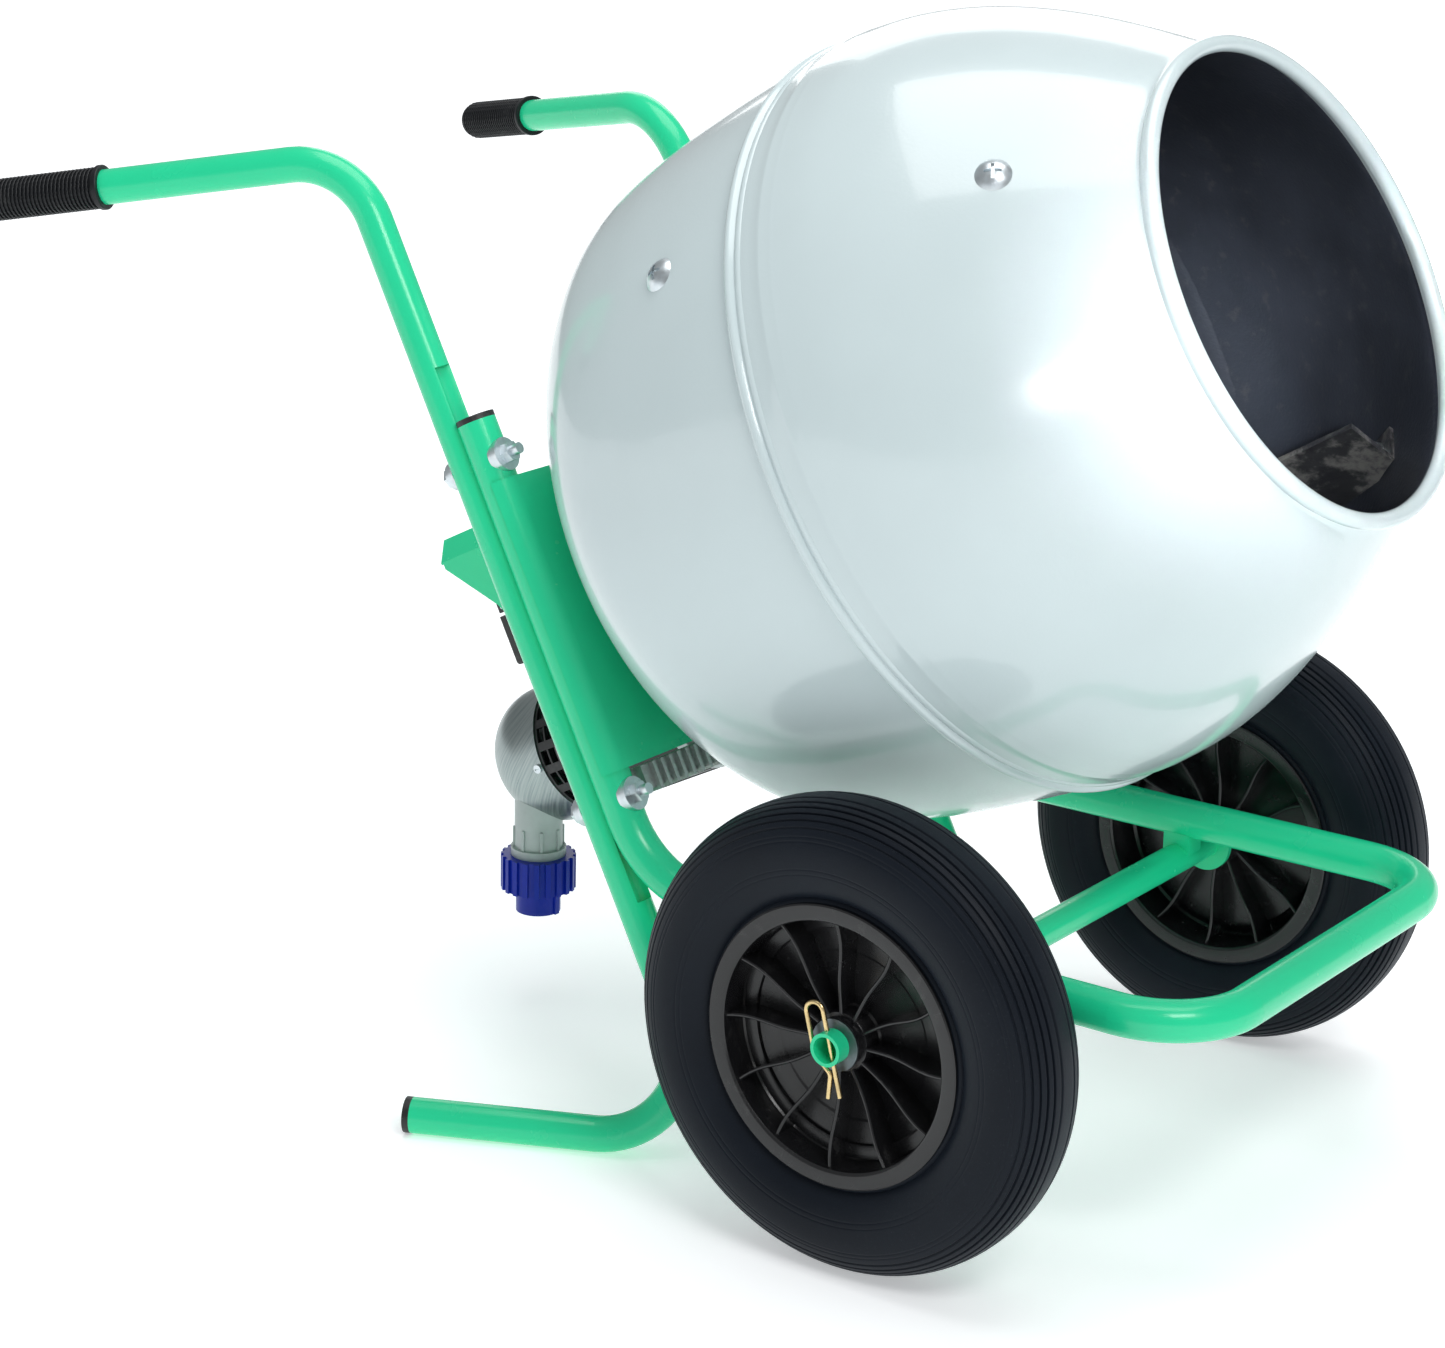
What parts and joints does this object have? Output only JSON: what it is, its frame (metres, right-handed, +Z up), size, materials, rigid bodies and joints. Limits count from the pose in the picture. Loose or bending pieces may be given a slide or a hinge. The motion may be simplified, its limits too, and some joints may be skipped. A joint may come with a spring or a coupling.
{
  "type": "concrete mixer",
  "caption": "Barrow-type concrete mixer: tilted drum on a bent tube frame with two wheels, handles with feet, electric drive housing and a covered switch.",
  "frame": {"origin": "point on the ground under the middle of the machine's length and width, 326 mm behind the wheel axle", "axes": "+Z up, -Y toward the drum mouth (the way it is pushed), +Y toward the handles, +X along the axle, to the right of someone who faces the drum mouth; left and right in node names follow that"},
  "size_m": [0.7224, 1.2568, 0.9913],
  "materials": {
    "green_paint": "gloss",
    "drum_enamel": "satin",
    "black_plastic": "matte",
    "black_paint": "satin",
    "grip_rubber": "matte",
    "tyre_rubber": "matte",
    "zinc": "satin",
    "yellow_zinc": "satin",
    "cast_metal": "satin",
    "bare_steel": "satin",
    "copper_wire": "satin",
    "grey_plastic": "matte",
    "blue_plastic": "satin",
    "start_green": "satin",
    "stop_red": "satin"
  },
  "bodies": {
    "frame": {"frame_tube": "green_paint", "axle_tube": "green_paint", "axle_saddles": "green_paint", "axle_collars": "green_paint", "left_leg_tube": "green_paint", "right_leg_tube": "green_paint", "post_caps": "black_plastic", "foot_caps": "black_plastic", "handle_grips": "grip_rubber", "frame_bolts": "zinc", "frame_washers": "zinc", "frame_nuts": "zinc", "axle_washers": "zinc", "axle_clips": "yellow_zinc", "gear_case": "cast_metal", "gear_case_cover": "cast_metal", "gear_case_bolts": "zinc", "drum_bearings": "bare_steel", "lay_bearings": "bare_steel", "drive_housing": "green_paint", "housing_cover": "green_paint", "lower_rail": "cast_metal", "motor_barrel": "black_paint", "motor_front_shield": "cast_metal", "motor_rear_shield": "cast_metal", "stator": "bare_steel", "windings": "copper_wire", "motor_bearings": "bare_steel", "fan_grille": "black_plastic", "dome_cover": "zinc", "dome_screws": "zinc", "inlet_body": "grey_plastic", "inlet_ring": "blue_plastic", "inlet_shroud": "blue_plastic", "inlet_pins": "yellow_zinc", "rain_hood": "green_paint", "switch_block": "black_plastic", "flap_pin": "zinc"},
    "drum": {"drum_bowl": "drum_enamel", "drum_cone": "drum_enamel", "drum_flange": "cast_metal", "drum_flange_bolts": "zinc", "drum_shaft": "bare_steel", "output_gear": "bare_steel", "drum_shaft_nut": "zinc", "paddles": "bare_steel", "paddle_screws": "zinc", "paddle_nuts": "zinc"},
    "layshaft": {"layshaft": "bare_steel", "lay_gear": "bare_steel"},
    "rotor": {"motor_shaft": "bare_steel", "rotor_core": "bare_steel", "cooling_fan": "black_plastic"},
    "left_wheel": {"left_wheel_rim": "black_plastic", "left_tyre": "tyre_rubber"},
    "right_wheel": {"right_wheel_rim": "black_plastic", "right_tyre": "tyre_rubber"},
    "stop_flap": {"stop_flap": "black_plastic"},
    "start_button": {"start_button": "start_green"},
    "stop_button": {"stop_button": "stop_red"}
  },
  "joints": [
    {"name": "drum_spin", "type": "hinge", "parent": "frame", "child": "drum", "pos_m": [0, 0.07563, 0.48409], "axis": [0, -0.887, 0.4617], "continuous": true},
    {"name": "lay_spin", "type": "hinge", "parent": "frame", "child": "layshaft", "pos_m": [0, 0.03398, 0.40408], "axis": [0, -0.887, 0.4617], "continuous": true},
    {"name": "motor_spin", "type": "hinge", "parent": "frame", "child": "rotor", "pos_m": [0, 0.00896, 0.356], "axis": [0, -0.887, 0.4617], "continuous": true},
    {"name": "left_wheel_spin", "type": "hinge", "parent": "frame", "child": "left_wheel", "pos_m": [-0.315, -0.32573, 0.2], "axis": [1, 0, 0], "continuous": true},
    {"name": "right_wheel_spin", "type": "hinge", "parent": "frame", "child": "right_wheel", "pos_m": [0.315, -0.32573, 0.2], "axis": [1, 0, 0], "continuous": true},
    {"name": "flap_hinge", "type": "hinge", "parent": "frame", "child": "stop_flap", "pos_m": [-0.065, 0.22334, 0.40833], "axis": [1, 0, 0], "range_deg": [-3, 75]},
    {"name": "start_push", "type": "slide", "parent": "frame", "child": "start_button", "axis": [0, -0.887, 0.4617], "range_m": [0, 0.0025], "stiffness_N_per_m": 1200},
    {"name": "stop_push", "type": "slide", "parent": "frame", "child": "stop_button", "axis": [0, -0.887, 0.4617], "range_m": [0, 0.0025], "stiffness_N_per_m": 1200}
  ],
  "couplings": [
    {"joint": "lay_spin", "follows": "drum_spin", "ratio": -7},
    {"joint": "motor_spin", "follows": "drum_spin", "ratio": 49}
  ]
}
